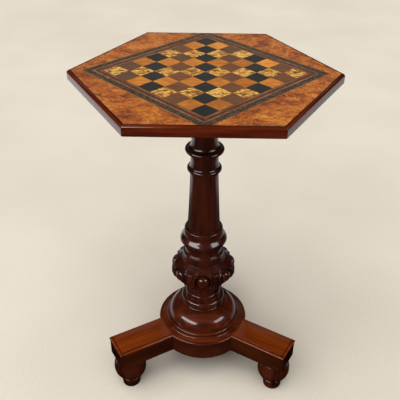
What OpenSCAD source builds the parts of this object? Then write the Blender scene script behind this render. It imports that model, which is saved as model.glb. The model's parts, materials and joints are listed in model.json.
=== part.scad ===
// Tilt top games table: a hexagonal chess top that tips upright on a turned column,
// with a round hub, three box legs and three bun feet.
// X runs from left to right, Y from the front edge to the back edge, and Z up.
// The origin is on the floor, under the middle of the column.

/* [Top] */
// Height of the playing surface above the floor
table_h = 720; // [640:1:860]
// Width of the top from corner to corner
top_w = 496; // [414:1:596]
// Thickness of the top, veneers included
top_t = 19; // [16:0.5:24]
// Width of the solid moulding round the top
edge_w = 6.5; // [6:0.5:12]
// Radius of the moulding's rounded upper edge
arris_r = 5; // [2:0.5:5.5]
// Radius of the moulding's rounded lower edge
under_arris_r = 2; // [1:0.5:5]
// Thickness of the sawn veneers
veneer_t = 1.2; // [0.8:0.1:2]

/* [Chess board] */
// Side of one square
square_w = 32; // [26:0.1:36]
// Glue line between neighbouring veneers
glue_line = 0.1; // [0.05:0.05:0.2]
// Width of the dark fillet next to the squares
fillet_w = 2; // [1:0.5:4]
// Width of the light stringing inside the rosewood strip
inner_string_w = 3; // [1:0.5:5]
// Width of the rosewood strip
rosewood_w = 6.5; // [4:0.5:10]
// Width of the light stringing outside the rosewood strip
middle_string_w = 3.5; // [1:0.5:5]
// Width of the mosaic band
mosaic_w = 11; // [6:0.5:16]
// Width of the light stringing outside the mosaic band
outer_string_w = 2; // [1:0.5:4]

/* [Pivot block and bearers] */
// Width of the pivot block, from bearer to bearer
block_w = 100; // [84:1:124]
// Height of the pivot block
block_h = 46; // [38:1:60]
// How far the pivot block reaches behind the column's axis
block_back = 55; // [44:1:70]
// How far the pivot axis lies in front of the column's axis
pivot_front = 45; // [37:1:56]
// How far the pivot axis lies below the underside of the top
pivot_drop = 14; // [11:0.5:18]
// Radius of the pivot pins
pin_r = 5; // [3:0.5:6]
// How far each pivot pin reaches into the block
pin_grip = 26; // [20:1:30]
// Radial play of a pivot pin in its bearer
pin_play = 0.06; // [0.02:0.01:0.1]
// Gap between the block's rounded front edge and the top
roll_gap = 0.5; // [0.3:0.1:1]
// Gap between the block and each bearer, and between the block and the top
block_gap = 0.4; // [0.3:0.1:1]
// Width of a bearer
bearer_w = 24; // [18:1:34]
// Height of a bearer
bearer_h = 28; // [24:1:36]
// Length of a bearer
bearer_l = 300; // [240:1:330]
// Length of the sloped end of a bearer
bearer_slope = 30; // [15:1:40]
// Number of screws through each bearer
bearer_screws = 4; // [2:1:6]

/* [Catch] */
// Width of the sliding bolt
bolt_w = 14; // [10:1:20]
// Thickness of the sliding bolt
bolt_t = 5; // [4:0.5:7]
// Length of the sliding bolt
bolt_l = 58; // [50:1:80]
// Travel of the sliding bolt
bolt_travel = 8; // [6:0.5:11]
// Gap between the drawn bolt and the keeper
bolt_clear = 2; // [1.5:0.5:4]
// Play of the bolt in its guide, on each side
bolt_play = 0.1; // [0.05:0.05:0.3]
// Length of the catch's guide
guide_l = 40; // [34:1:48]
// Wall of the catch's guide
guide_wall = 2; // [1.5:0.5:4]
// Thickness of the brass plates
plate_t = 1.6; // [1:0.2:3]
// Length of the catch's base plate
plate_l = 64; // [56:1:90]
// Width of the catch's base plate
plate_w = 36; // [32:1:50]
// Radius of the knob
knob_r = 7; // [5:0.5:9]
// Height of the knob
knob_h = 11; // [8:0.5:16]
// Radius of the knob's stem
stem_r = 2.2; // [1.5:0.1:3]

/* [Column] */
// Radius of the neck above the upper ring
neck_r = 25.2; // [22:0.2:30]
// Radius of the upper ring
upper_ring_r = 38.3; // [34:0.1:44]
// Height of the upper ring
upper_ring_h = 21; // [15:0.5:26]
// Radius of the waist between the rings
waist_r = 26.8; // [23:0.2:30]
// Radius of the lower ring
lower_ring_r = 34.4; // [31:0.2:40]
// Height of the lower ring
lower_ring_h = 15; // [11:0.5:19]
// Radius at the top of the tapered shaft
shaft_top_r = 28; // [25:0.2:31]
// Radius at the foot of the tapered shaft
shaft_foot_r = 34; // [31:0.2:38]
// Radius of the cup at the foot of the shaft
lip_r = 40.2; // [37:0.2:46]
// Radius of the bell under the cup
bulge_r = 49.5; // [44:0.2:56]
// Height of the stem under the bell
stem_h = 46; // [38:0.5:54]
// Radius of the stem's foot on the bulb
stem_foot_r = 48; // [45:0.5:52]
// Height of the bell
bulge_h = 20; // [16:0.5:25]
// Radius of the stem's neck under the bell
stem_neck_r = 37.5; // [32:0.5:41]
// Height of the waist between the rings
waist_h = 24; // [20:0.5:34]
// Height from the foot of the lower ring to the collar under the pivot block
neck_h = 124.5; // [100:0.5:150]
// Height of the collar under the pivot block
cap_h = 14; // [10:1:20]
// Radius of the collar that carries the pivot block
cap_r = 41; // [36:0.5:42]
// Radius of the dowel that runs through the bulb and the base
dowel_r = 20; // [15:1:24]
// Radius of the tenon that holds the pivot block
tenon_r = 17; // [13:1:21]
// Thickness of the tenon's wedge at its top
wedge_t = 5; // [3:0.5:7]

/* [Bulb and base turnings] */
// Greatest radius of the carved bulb
bulb_r = 66.5; // [56:0.5:78]
// Height of the carved bulb
bulb_h = 66; // [54:1:80]
// Radius of the bulb's rim
bulb_rim_r = 55; // [50:0.5:64]
// Rise of the bulb's smooth crown from its rim to the stem
crown_h = 6; // [4:0.5:9]
// Radius of the bulb's foot
bulb_foot_r = 37; // [34:0.5:42]
// Height of the collar under the bulb
collar_h = 56.5; // [47:0.5:68]
// Radius of the collar's neck
collar_neck_r = 36; // [31:0.5:41]
// Radius of the collar's torus
torus_r = 48.4; // [43:0.2:56]
// Height of the domed base moulding
dome_h = 43; // [36:0.5:52]
// Radius of the domed base moulding
dome_r = 86; // [78:0.5:92]

/* [Hub, legs and feet] */
// Radius of the round hub
hub_r = 100; // [94:0.5:120]
// Thickness of the hub and the legs
leg_t = 47.5; // [38:0.5:57]
// Distance from the column's axis to the end of a leg
leg_reach = 221; // [180:0.5:265]
// Width of a leg
leg_w = 65.5; // [54:0.5:78]
// How far the edge moulding stands out from the sides of the hub and legs
edge_out = 1.2; // [0.5:0.1:3]
// Depth of the edge moulding
edge_depth = 6.5; // [5:0.5:10]
// Radius of the edge moulding's outer edge
edge_r = 2.5; // [1:0.5:4]
// How far the quirk lies inside the edge moulding's outer edge
quirk_in = 5.5; // [4.5:0.5:7]
// Height of the quirk above the edge moulding's flat
quirk_h = 1.2; // [0.6:0.1:2]
// Length of a leg's tenon
leg_tenon_l = 34; // [26:1:44]
// Width of a leg's tenon
leg_tenon_w = 24; // [18:1:32]
// Height of a leg's tenon
leg_tenon_h = 22; // [16:1:28]
// Height of a foot
foot_h = 83; // [70:1:100]
// Distance from the column's axis to a foot's axis
foot_reach = 188.6; // [160:0.1:230]
// Greatest radius of a foot
foot_r = 35.8; // [30:0.1:43]
// Radius of a foot where it meets the floor
toe_r = 20; // [16:0.5:24]
// Height of a foot's cup-shaped toe
toe_h = 24; // [18:1:30]
// Radius of a foot's spigot
spigot_r = 12; // [9:0.5:15]
// Length of a foot's spigot
spigot_l = 30; // [22:1:34]
// Clearance of dowels, tenons and spigots in their holes
joint_clear = 0.1; // [0.05:0.05:0.3]

/* [Screws] */
// Radius of a screw's shank
screw_r = 2; // [1.5:0.1:3]
// Radius of a screw's countersunk head
screw_head_r = 4; // [3:0.1:5]
// Length of the screws in the bearers
bearer_screw_l = 40; // [32:1:50]
// Length of the screws in the catch and the keeper
plate_screw_l = 12; // [8:1:14]

/* [Hidden] */
$fn = 96;

// Steps in a drawn quarter round.
steps = 6;
// Overlap that makes a cut run clear through.
eps = 1;

// Top
top_r = top_w / 2;
top_apothem = top_r * cos(30);
field_apothem = top_apothem - edge_w;
underside = table_h - top_t;
core_top = table_h - veneer_t;

// Half sides of the square frames round the board, from the squares outwards.
board_half = 4 * square_w;
fillet_half = board_half + fillet_w;
inner_string_half = fillet_half + inner_string_w;
rosewood_half = inner_string_half + rosewood_w;
middle_string_half = rosewood_half + middle_string_w;
mosaic_half = middle_string_half + mosaic_w;
outer_string_half = mosaic_half + outer_string_w;

// Pivot block
pivot_z = underside - pivot_drop;
block_top = underside - block_gap;
block_base = block_top - block_h;
roll_r = pivot_drop - roll_gap;
bearer_in = block_w / 2 + block_gap;

// Catch
bolt_y = block_back + plate_t + bolt_clear;
bolt_z = underside - plate_t - bolt_t / 2 - bolt_play;
guide_t = bolt_t + 2 * bolt_play + guide_wall;
plate_y = bolt_y;
guide_y = plate_y + (plate_l - guide_l) / 2;
stem_y = guide_y + guide_l / 2;
spring_t = 0.4;
plate_screw_x = plate_w / 2 - screw_head_r - 1;
keeper_h = 20;
keeper_screw_x = bolt_w / 2 + screw_head_r + 3;

// Heights of the turned pieces
leg_top = foot_h + leg_t;
dome_top = leg_top + dome_h;
collar_top = dome_top + collar_h;
bulb_top = collar_top + bulb_h;
stem_z = bulb_top + crown_h;
bulge_z = stem_z + stem_h;
lip_z = bulge_z + bulge_h;
lower_ring_z = block_base - cap_h - neck_h;
upper_ring_z = lower_ring_z + lower_ring_h + waist_h;
tenon_top = block_top - 1;

// A row of screw places along a bearer.
screw_ys = [for (i = [0 : bearer_screws - 1])
  (i / (bearer_screws - 1) - 0.5) * (bearer_l - 2 * bearer_slope - 20)];

// ---- Outlines ----

// A quarter ellipse that leaves p upright and reaches q level.
function rise_turn(p, q) = [for (i = [0 : steps]) let (a = 90 * i / steps)
  [q[0] + (p[0] - q[0]) * cos(a), p[1] + (q[1] - p[1]) * sin(a)]];

// A quarter ellipse that leaves p level and reaches q upright.
function level_turn(p, q) = [for (i = [0 : steps]) let (a = 90 * i / steps)
  [p[0] + (q[0] - p[0]) * sin(a), q[1] + (p[1] - q[1]) * cos(a)]];

// A half ellipse bead from height z to z + h, standing out from radius r to radius reach.
function bead(r, reach, z, h) = [for (i = [0 : 2 * steps]) let (a = 90 * i / steps - 90)
  [r + (reach - r) * cos(a), z + h / 2 + h / 2 * sin(a)]];

// A double curve that leaves p upright and reaches q upright.
function ogee(p, q) = [for (i = [0 : 2 * steps]) let (a = 90 * i / steps)
  [p[0] + (q[0] - p[0]) * (1 - cos(a)) / 2, p[1] + (q[1] - p[1]) * i / (2 * steps)]];

module turned(points) {
  rotate_extrude() polygon(points);
}

module hexagon(apothem) {
  circle(r = apothem / cos(30), $fn = 6);
}

// The square frame between two half sides, turned to stand on its corner.
module diamond(half) {
  rotate(45) square(2 * half, center = true);
}

// One veneer of the top, cut to the field inside the moulding.
module veneer() {
  translate([0, 0, core_top]) linear_extrude(veneer_t) intersection() {
    hexagon(field_apothem);
    children();
  }
}

// Four mitred strips that fill the frame between two half sides.
module strips(inner, outer) {
  veneer() for (side = [0 : 3]) rotate(45 + 90 * side)
    polygon([[inner + glue_line, -inner], [outer, -outer + glue_line],
      [outer, outer - glue_line], [inner + glue_line, inner]]);
}

// Squares of the board whose column and row satisfy the pattern: sum and difference counts
// run modulo four, so each wood takes every fourth one.
module squares(kind) {
  veneer() for (i = [0 : 7], j = [0 : 7]) {
    wood = (i + j) % 2 == 0 ? ((i - j + 8) % 4 == 0 ? "black" : "brown")
      : ((i + j) % 4 == 1 ? "satinwood" : "shell");
    if (wood == kind)
      rotate(45) translate([(i - 3.5) * square_w, (j - 3.5) * square_w])
        square(square_w - glue_line, center = true);
  }
}

// A countersunk screw along +Z with its head's face at z = 0 and its point above.
module screw(length) {
  cylinder(r1 = screw_head_r, r2 = screw_r, h = screw_head_r - screw_r);
  cylinder(r = screw_r, h = length - 3);
  translate([0, 0, length - 3]) cylinder(r1 = screw_r, r2 = 0.5, h = 3);
}

// ---- Top ----

module top_core() {
  color("burlywood") difference() {
    translate([0, 0, underside]) linear_extrude(top_t - veneer_t) hexagon(field_apothem);
    screw_holes();
  }
}

module screw_holes() {
  for (x = [-1, 1], y = screw_ys)
    translate([x * (bearer_in + bearer_w / 2), y, underside - bearer_h]) screw(bearer_screw_l);
  catch_screws();
}

// One side of the moulding, mitred at both corners. Side 1 is at the right back.
module edge_moulding(number) {
  color("saddlebrown") intersection() {
    rotate(60 * number - 30) rotate([90, 0, 0]) translate([0, 0, -top_r])
      linear_extrude(2 * top_r) polygon(concat(
        [[field_apothem, underside]],
        level_turn([top_apothem - under_arris_r, underside],
          [top_apothem, underside + under_arris_r]),
        rise_turn([top_apothem, table_h - arris_r], [top_apothem - arris_r, table_h]),
        [[field_apothem, table_h]]));
    rotate(60 * number - 30) translate([0, 0, underside - eps]) linear_extrude(top_t + 2 * eps)
      polygon([[0, 0], [2 * top_r, -2 * top_r * tan(30)], [2 * top_r, 2 * top_r * tan(30)]]);
  }
}

// One quarter of the burr field outside the board's frame; x and y give its side.
module burr(x, y) {
  color("peru") veneer() difference() {
    translate([x > 0 ? glue_line / 2 : -top_w, y > 0 ? glue_line / 2 : -top_w])
      square(top_w - glue_line / 2);
    diamond(outer_string_half + glue_line);
  }
}

module mosaic_band() {
  color("darkolivegreen") strips(middle_string_half, mosaic_half);
}

module outer_stringing() {
  color("wheat") strips(mosaic_half, outer_string_half);
}

module middle_stringing() {
  color("wheat") strips(rosewood_half, middle_string_half);
}

module inner_stringing() {
  color("wheat") strips(fillet_half, inner_string_half);
}

module rosewood_strips() {
  color("brown") strips(inner_string_half, rosewood_half);
}

module dark_fillets() {
  color("sienna") strips(board_half, fillet_half);
}

module black_squares() {
  color("darkslategray") squares("black");
}

module brown_squares() {
  color("sienna") squares("brown");
}

module satinwood_squares() {
  color("sandybrown") squares("satinwood");
}

module shell_squares() {
  color("goldenrod") squares("shell");
}

// ---- Bearers, pivot and catch ----

// A batten under the top; side is -1 for the left one and 1 for the right one.
module bearer(side) {
  color("maroon") difference() {
    translate([side > 0 ? bearer_in : -bearer_in - bearer_w, 0, underside])
      rotate([90, 0, 90]) linear_extrude(bearer_w) polygon([
        [-bearer_l / 2, 0], [-bearer_l / 2, -bearer_h / 3],
        [-bearer_l / 2 + bearer_slope, -bearer_h], [bearer_l / 2 - bearer_slope, -bearer_h],
        [bearer_l / 2, -bearer_h / 3], [bearer_l / 2, 0]]);
    translate([side * bearer_in, -pivot_front, pivot_z]) rotate([0, 90, 0])
      cylinder(r = pin_r + pin_play, h = 4 * bearer_w, center = true);
    screw_holes();
  }
}

module bearer_screw_set() {
  color("silver") for (x = [-1, 1], y = screw_ys)
    translate([x * (bearer_in + bearer_w / 2), y, underside - bearer_h]) screw(bearer_screw_l);
}

// A pivot pin runs from the outer face of its bearer into the block.
module pivot_pin(side) {
  color("goldenrod") translate([side * (block_w / 2 - pin_grip), -pivot_front, pivot_z])
    rotate([0, side * 90, 0]) cylinder(r = pin_r, h = pin_grip + block_gap + bearer_w);
}

// The block on top of the column. Its upper front edge is round about the pivot axis,
// so the top rolls past it and stops against its front face.
module pivot_block() {
  color("maroon") difference() {
    union() {
      translate([-block_w / 2, -pivot_front, block_base])
        cube([block_w, pivot_front + block_back, block_h]);
      translate([-block_w / 2, -pivot_front - roll_r, block_base])
        cube([block_w, roll_r + eps, pivot_z - block_base]);
      translate([-block_w / 2, -pivot_front, pivot_z]) rotate([0, 90, 0])
        cylinder(r = roll_r, h = block_w);
    }
    for (x = [-1, 1]) translate([x * (block_w / 2 - pin_grip), -pivot_front, pivot_z])
      rotate([0, x * 90, 0]) cylinder(r = pin_r, h = pin_grip + eps);
    translate([0, 0, block_base - eps]) cylinder(r = tenon_r + joint_clear, h = block_h + 2 * eps);
    bolt_pocket(bolt_travel);
    keeper_screws();
  }
}

// The space that the bolt enters, cut through the keeper and into the block.
module bolt_pocket(depth) {
  translate([0, block_back + plate_t + eps - (depth + plate_t + eps) / 2, bolt_z])
    cube([bolt_w + 1, depth + plate_t + eps, bolt_t + 1], center = true);
}

module keeper_plate() {
  color("gold") difference() {
    translate([-plate_w / 2, block_back, block_top - keeper_h])
      cube([plate_w, plate_t, keeper_h - 1]);
    bolt_pocket(bolt_travel);
    keeper_screws();
  }
}

module keeper_screws() {
  for (x = [-1, 1]) translate([x * keeper_screw_x, block_back + plate_t, block_top - keeper_h / 2])
    rotate([90, 0, 0]) screw(plate_screw_l);
}

module keeper_screw_set() {
  color("gold") keeper_screws();
}

// The base plate and the guide that holds the sliding bolt under the top.
module catch_guide() {
  color("gold") difference() {
    union() {
      translate([-plate_w / 2, plate_y, underside - plate_t]) cube([plate_w, plate_l, plate_t]);
      translate([-bolt_w / 2 - bolt_play - guide_wall, guide_y, underside - plate_t - guide_t])
        cube([bolt_w + 2 * (bolt_play + guide_wall), guide_l, guide_t + plate_t / 2]);
    }
    translate([-bolt_w / 2 - bolt_play, guide_y - eps, bolt_z - bolt_t / 2 - bolt_play])
      cube([bolt_w + 2 * bolt_play, guide_l + 2 * eps, bolt_t + 2 * bolt_play]);
    stem_slot();
    catch_screws();
    spring_pocket(0.1);
  }
}

// The leaf spring's space, let up into the base plate over the bolt.
module spring_pocket(clear) {
  translate([-bolt_w / 4 - clear, guide_y + 2 - clear, underside - plate_t - clear])
    cube([bolt_w / 2 + 2 * clear, guide_l - 4 + 2 * clear, spring_t + clear]);
}

// The slot that the knob's stem runs along, through the floor of the guide.
module stem_slot() {
  translate([0, 0, underside - plate_t - guide_t - eps]) linear_extrude(guide_wall + 2 * eps)
    union() {
      translate([0, stem_y]) circle(r = stem_r + 0.4);
      translate([0, stem_y - bolt_travel]) circle(r = stem_r + 0.4);
      translate([-stem_r - 0.4, stem_y - bolt_travel]) square([2 * stem_r + 0.8, bolt_travel]);
    }
}

module catch_screws() {
  for (x = [-1, 1], y = [plate_y + screw_head_r + 1, plate_y + plate_l - screw_head_r - 1])
    translate([x * plate_screw_x, y, underside - plate_t]) screw(plate_screw_l);
}

module catch_screw_set() {
  color("gold") catch_screws();
}

// A leaf spring let into the base plate, which rubs the bolt and holds it where it is put.
module catch_spring() {
  color("khaki") spring_pocket(0);
}

// The flat bolt, with its nose sloped so that it rides into the keeper.
module catch_bolt() {
  color("gold") difference() {
    translate([-bolt_w / 2, 0, bolt_z - bolt_t / 2]) rotate([90, 0, 90]) linear_extrude(bolt_w)
      polygon([[bolt_y, bolt_t * 0.3], [bolt_y + bolt_t * 0.7, 0], [bolt_y + bolt_l, 0],
        [bolt_y + bolt_l, bolt_t], [bolt_y, bolt_t]]);
    translate([0, stem_y, bolt_z - bolt_t / 2 - eps]) cylinder(r = stem_r, h = bolt_t / 2 + eps);
  }
}

module catch_knob() {
  color("gold") translate([0, stem_y, bolt_z - bolt_t / 2 - guide_wall - knob_h])
    rotate_extrude() polygon(concat(
      [[0, 0]],
      level_turn([knob_r * 0.5, 0], [knob_r, knob_h * 0.35]),
      rise_turn([knob_r, knob_h * 0.35], [stem_r, knob_h * 0.8]),
      [[stem_r, knob_h + guide_wall + bolt_t / 2], [0, knob_h + guide_wall + bolt_t / 2]]));
}

// ---- Column ----

// The upper turning: dowel, stem, bulge, lip, tapered shaft, two rings, neck, cap and tenon.
module column_shaft() {
  lip_h = 14;
  lip_top = lip_z + lip_h;
  lower_top = lower_ring_z + lower_ring_h;
  upper_top = upper_ring_z + upper_ring_h;
  cap_z = block_base - cap_h;
  color("darkred") difference() {
    turned(concat(
      [[0, foot_h + 2], [dowel_r, foot_h + 2], [dowel_r, stem_z], [stem_foot_r - 1, stem_z]],
      bead(stem_foot_r - 1, stem_foot_r, stem_z, 3),
      rise_turn([stem_foot_r - 1, stem_z + 3.5], [stem_neck_r + 4.5, stem_z + 19]),
      level_turn([stem_neck_r + 4, stem_z + 19.5], [stem_neck_r, stem_z + 28]),
      rise_turn([stem_neck_r, bulge_z - 4], [stem_neck_r + 2.5, bulge_z - 0.5]),
      level_turn([bulge_r - 4, bulge_z], [bulge_r, bulge_z + 5]),
      ogee([bulge_r, bulge_z + 6], [lip_r, lip_z + 2]),
      rise_turn([lip_r, lip_top - 3.5], [lip_r - 3.5, lip_top]),
      [[shaft_foot_r, lip_top]],
      [[shaft_top_r, lower_ring_z - 12]],
      level_turn([shaft_top_r, lower_ring_z - 9], [shaft_top_r + 2, lower_ring_z - 1.5]),
      bead(shaft_top_r + 2.4, lower_ring_r, lower_ring_z, lower_ring_h),
      [[waist_r + 2.5, lower_top]],
      rise_turn([waist_r + 2.5, lower_top + 0.5], [waist_r, lower_top + 8]),
      level_turn([waist_r, upper_ring_z - 10], [waist_r + 4, upper_ring_z - 1.5]),
      bead(neck_r + 5.5, upper_ring_r, upper_ring_z, upper_ring_h),
      [[neck_r + 6, upper_top]],
      rise_turn([neck_r + 5.5, upper_top + 0.5], [neck_r, upper_top + 10]),
      level_turn([neck_r, cap_z - 20], [cap_r - 3, cap_z]),
      bead(cap_r - 3, cap_r, cap_z, cap_h - 2),
      [[cap_r - 3, block_base], [tenon_r, block_base], [tenon_r, tenon_top], [0, tenon_top]]));
    wedge(tenon_top + eps, tenon_r, eps);
    wedge_from_below(eps);
  }
}

// A tapered wedge across the tenon, thick at its top and thin 30 mm down.
module wedge(z, half_l, over) {
  translate([-half_l - over, 0, z - 31]) rotate([90, 0, 90]) linear_extrude(2 * (half_l + over))
    polygon([[-wedge_t / 6, 0], [wedge_t / 6, 0], [wedge_t / 2, 31], [-wedge_t / 2, 31]]);
}

module wedge_from_below(over) {
  mirror([0, 0, 1]) wedge(-foot_h - 2 + over, dowel_r, over);
}

// What lies inside a round hole of radius r, so that a wedge ends flush with its dowel.
module within(r) {
  intersection() {
    children();
    cylinder(r = r, h = table_h);
  }
}

module tenon_wedge() {
  color("tan") within(tenon_r) difference() {
    wedge(tenon_top + eps, tenon_r, eps);
    translate([-top_r, -top_r, tenon_top]) cube([top_w, top_w, 2 * eps]);
  }
}

module base_wedge() {
  color("tan") within(dowel_r) difference() {
    wedge_from_below(eps);
    translate([-top_r, -top_r, foot_h + 2 - 2 * eps]) cube([top_w, top_w, 2 * eps]);
  }
}

// The bulb's plain form: a cup that widens upwards, a full shoulder and a smooth crown.
module carved_bulb() {
  flare_r = bulb_r - 3.5;
  flare_z = collar_top + bulb_h * 0.41;
  color("darkred") turned(concat(
    [[dowel_r + joint_clear, collar_top], [bulb_foot_r, collar_top]],
    [[bulb_foot_r + 10, collar_top + 8], [flare_r, flare_z]],
    rise_turn([bulb_r, flare_z + 6], [bulb_rim_r, bulb_top]),
    [[stem_foot_r, stem_z], [dowel_r + joint_clear, stem_z]]));
}

// The lower turning: a bead under the bulb, a neck, and a torus over a small bead.
module base_collar() {
  color("darkred") turned(concat(
    [[dowel_r + joint_clear, dome_top], [torus_r - 4, dome_top]],
    bead(torus_r - 5, torus_r - 1.8, dome_top, 6),
    bead(torus_r - 8, torus_r, dome_top + 6.5, 17.5),
    [[torus_r - 7, dome_top + 25]],
    rise_turn([torus_r - 8, dome_top + 26], [collar_neck_r, dome_top + 38]),
    bead(collar_neck_r, collar_neck_r + 3.5, collar_top - 7.5, 7.5),
    [[dowel_r + joint_clear, collar_top]]));
}

// The domed moulding on the hub: a step, a bead and a full round that runs up to the collar.
module base_dome() {
  color("darkred") turned(concat(
    [[dowel_r + joint_clear, leg_top], [dome_r, leg_top], [dome_r, leg_top + 1.5]],
    bead(dome_r - 7, dome_r - 4, leg_top + 2.5, 7),
    [[dome_r - 7, leg_top + 9.5]],
    rise_turn([dome_r - 7, leg_top + 10], [torus_r - 4, dome_top]),
    [[dowel_r + joint_clear, dome_top]]));
}

// ---- Hub, legs and feet ----

// The moulded upper edge of a piece that reaches out to w and up to z.
function edge_points(w, z) = concat(
  [[w - edge_out, z - edge_depth], [w, z - edge_depth]],
  rise_turn([w, z - quirk_h - edge_r], [w - edge_r, z - quirk_h]),
  [[w - quirk_in, z - quirk_h], [w - quirk_in, z]]);

module hub_form(bore) {
  turned(concat([[bore, foot_h], [hub_r - edge_out, foot_h]], edge_points(hub_r, leg_top),
    [[bore, leg_top]]));
}

module hub() {
  color("darkred") difference() {
    hub_form(dowel_r + joint_clear);
    for (turn = [90, 210, 330]) rotate(turn) leg_tenon(joint_clear);
  }
}

module leg_tenon(clear) {
  translate([hub_r - edge_out - leg_tenon_l - clear, -leg_tenon_w / 2 - clear,
    foot_h + (leg_t - leg_tenon_h) / 2 - clear])
    cube([leg_tenon_l + quirk_in, leg_tenon_w + 2 * clear, leg_tenon_h + 2 * clear]);
}

// A box leg along +X, moulded along both sides and round its end, and fitted to the hub.
module leg_form() {
  difference() {
    intersection() {
      rotate([90, 0, 90]) linear_extrude(leg_reach) polygon(concat(
        [[-leg_w / 2 + edge_out, foot_h], [leg_w / 2 - edge_out, foot_h]],
        edge_points(leg_w / 2, leg_top),
        [for (i = [len(edge_points(leg_w / 2, leg_top)) - 1 : -1 : 0])
          let (p = edge_points(leg_w / 2, leg_top)[i]) [-p[0], p[1]]]));
      translate([0, leg_w, 0]) rotate([90, 0, 0]) linear_extrude(2 * leg_w) polygon(concat(
        [[0, foot_h], [leg_reach - edge_out, foot_h]], edge_points(leg_reach, leg_top),
        [[0, leg_top]]));
    }
    hub_form(0);
    translate([foot_reach, 0, foot_h - eps])
      cylinder(r = spigot_r + joint_clear, h = spigot_l + joint_clear + eps);
  }
  leg_tenon(0);
}

module leg(turn) {
  color("darkred") rotate(turn) leg_form();
}

// A bun foot: a cup-shaped toe, a groove, the bun and a spigot that enters the leg.
module foot(turn) {
  color("darkred") rotate(turn) translate([foot_reach, 0, 0]) turned(concat(
    [[0, 0], [toe_r - 1.5, 0]],
    level_turn([toe_r - 1.5, 0], [toe_r, 2]),
    [[toe_r + 2.2, toe_h - 5]],
    rise_turn([toe_r + 2.2, toe_h - 5], [toe_r, toe_h - 1]),
    [[toe_r - 0.5, toe_h]],
    level_turn([toe_r - 0.5, toe_h + 1], [foot_r, toe_h + 30]),
    rise_turn([foot_r, toe_h + 32], [spigot_r + 12, foot_h]),
    [[spigot_r, foot_h], [spigot_r, foot_h + spigot_l], [0, foot_h + spigot_l]]));
}

top_core();
edge_moulding(1);  // edge_moulding_1
edge_moulding(2);  // edge_moulding_2
edge_moulding(3);  // edge_moulding_3
edge_moulding(4);  // edge_moulding_4
edge_moulding(5);  // edge_moulding_5
edge_moulding(6);  // edge_moulding_6
burr(-1, -1);  // burr_front_left
burr(1, -1);  // burr_front_right
burr(-1, 1);  // burr_back_left
burr(1, 1);  // burr_back_right
mosaic_band();
outer_stringing();
middle_stringing();
inner_stringing();
rosewood_strips();
dark_fillets();
black_squares();
brown_squares();
satinwood_squares();
shell_squares();
bearer(-1);  // bearer_left
bearer(1);  // bearer_right
bearer_screw_set();
catch_guide();
catch_spring();
catch_screw_set();
catch_bolt();
catch_knob();
keeper_plate();
keeper_screw_set();
pivot_block();
pivot_pin(-1);  // pivot_pin_left
pivot_pin(1);  // pivot_pin_right
tenon_wedge();
column_shaft();
carved_bulb();
base_collar();
base_dome();
base_wedge();
hub();
leg(210);  // leg_left
leg(330);  // leg_right
leg(90);  // leg_back
foot(210);  // foot_left
foot(330);  // foot_right
foot(90);  // foot_back
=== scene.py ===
"""A tilt top games table: an inlaid hexagonal top on a turned and carved mahogany column.

Sizes in the outlines are millimetres, as on the maker's drawing; meshes are made in metres.
"""
import json
import math
import random

import bmesh
import bpy
from mathutils import Matrix, Vector


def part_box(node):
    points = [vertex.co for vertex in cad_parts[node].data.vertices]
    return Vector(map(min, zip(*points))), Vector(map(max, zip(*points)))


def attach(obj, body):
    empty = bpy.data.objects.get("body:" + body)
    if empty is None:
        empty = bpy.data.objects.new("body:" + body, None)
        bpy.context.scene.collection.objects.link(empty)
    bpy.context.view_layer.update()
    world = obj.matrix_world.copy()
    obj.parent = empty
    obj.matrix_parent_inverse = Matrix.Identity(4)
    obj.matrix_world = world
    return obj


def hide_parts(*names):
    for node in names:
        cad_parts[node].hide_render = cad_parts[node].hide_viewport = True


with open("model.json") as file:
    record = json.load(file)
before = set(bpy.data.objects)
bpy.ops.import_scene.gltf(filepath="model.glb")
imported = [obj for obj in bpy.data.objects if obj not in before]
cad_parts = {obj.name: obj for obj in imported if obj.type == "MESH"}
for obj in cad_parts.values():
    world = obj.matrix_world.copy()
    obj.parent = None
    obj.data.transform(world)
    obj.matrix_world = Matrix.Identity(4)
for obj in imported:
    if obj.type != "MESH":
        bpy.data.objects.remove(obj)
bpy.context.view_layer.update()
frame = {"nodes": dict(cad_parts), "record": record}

MM = 0.001
TAU = 2 * math.pi
BODY_OF_NODE = {
    node: body
    for body, nodes in frame["record"]["behaviour"]["bodies"].items()
    for node in nodes
}
SLOT_OF_NODE = {p["node"]: p["material_slot"] for p in frame["record"]["subparts"]}


def low(node):
    """Lowest corner of a CAD node, in millimetres."""
    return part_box(node)[0] / MM


def high(node):
    """Highest corner of a CAD node, in millimetres."""
    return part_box(node)[1] / MM


# ---- Heights, radii and widths, from the frame and the drawing ----

HUB_BASE = low("hub").z
HUB_TOP = high("hub").z
HUB_R = high("hub").x
DOME_TOP = high("base_dome").z
DOME_R = high("base_dome").x
COLLAR_TOP = high("base_collar").z
TORUS_R = high("base_collar").x
BULB_TOP = high("carved_bulb").z
BULB_R = high("carved_bulb").x
BLOCK_BASE = low("pivot_block").z
TENON_TOP = high("column_shaft").z
SHAFT_BASE = low("column_shaft").z
DOWEL_R = 20
BORE_R = DOWEL_R + 0.1
TENON_R = 17
BELL_R = high("column_shaft").x
STEM_H = 46
BELL_H = 20
LIP_H = 14
CAP_H = 14
LOWER_RING = BLOCK_BASE - 131
UPPER_RING = BLOCK_BASE - 89
LEG_W = 65.5
LEG_REACH = 221
TOP_W = 496
TOP_APOTHEM = TOP_W / 2 * math.cos(math.radians(30))


# ---- Shader sockets ----


def srgb(red, green, blue):
    """A colour from display values of 0 to 255, as the linear values that shaders take."""
    def linear(value):
        share = value / 255
        if share <= 0.04045:
            return share / 12.92
        return ((share + 0.055) / 1.055) ** 2.4

    return (linear(red), linear(green), linear(blue), 1.0)


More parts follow.
